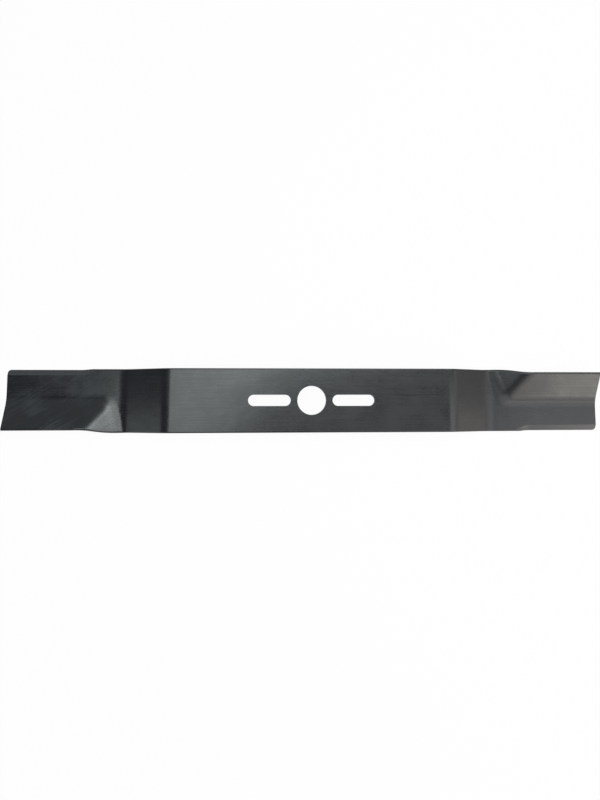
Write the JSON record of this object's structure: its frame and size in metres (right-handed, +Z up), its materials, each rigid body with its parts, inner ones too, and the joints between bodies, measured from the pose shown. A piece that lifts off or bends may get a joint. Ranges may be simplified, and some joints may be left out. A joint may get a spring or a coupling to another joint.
{
  "type": "rotary mower blade",
  "caption": "Straight steel mower blade with a raised flat hub, centre bore, in-line bolt slots, dropped arms, ground cutting edges and upturned lift wings.",
  "frame": {"origin": "centre of the spindle bore, on the upper face of the hub's flat", "axes": "+X along the blade from tip to tip, +Z up the spindle axis towards the mower's deck"},
  "size_m": [0.536, 0.0568, 0.023],
  "materials": {
    "black_paint": "black semi-gloss paint over steel"
  },
  "bodies": {
    "root": {"blade": "black_paint"}
  },
  "joints": []
}
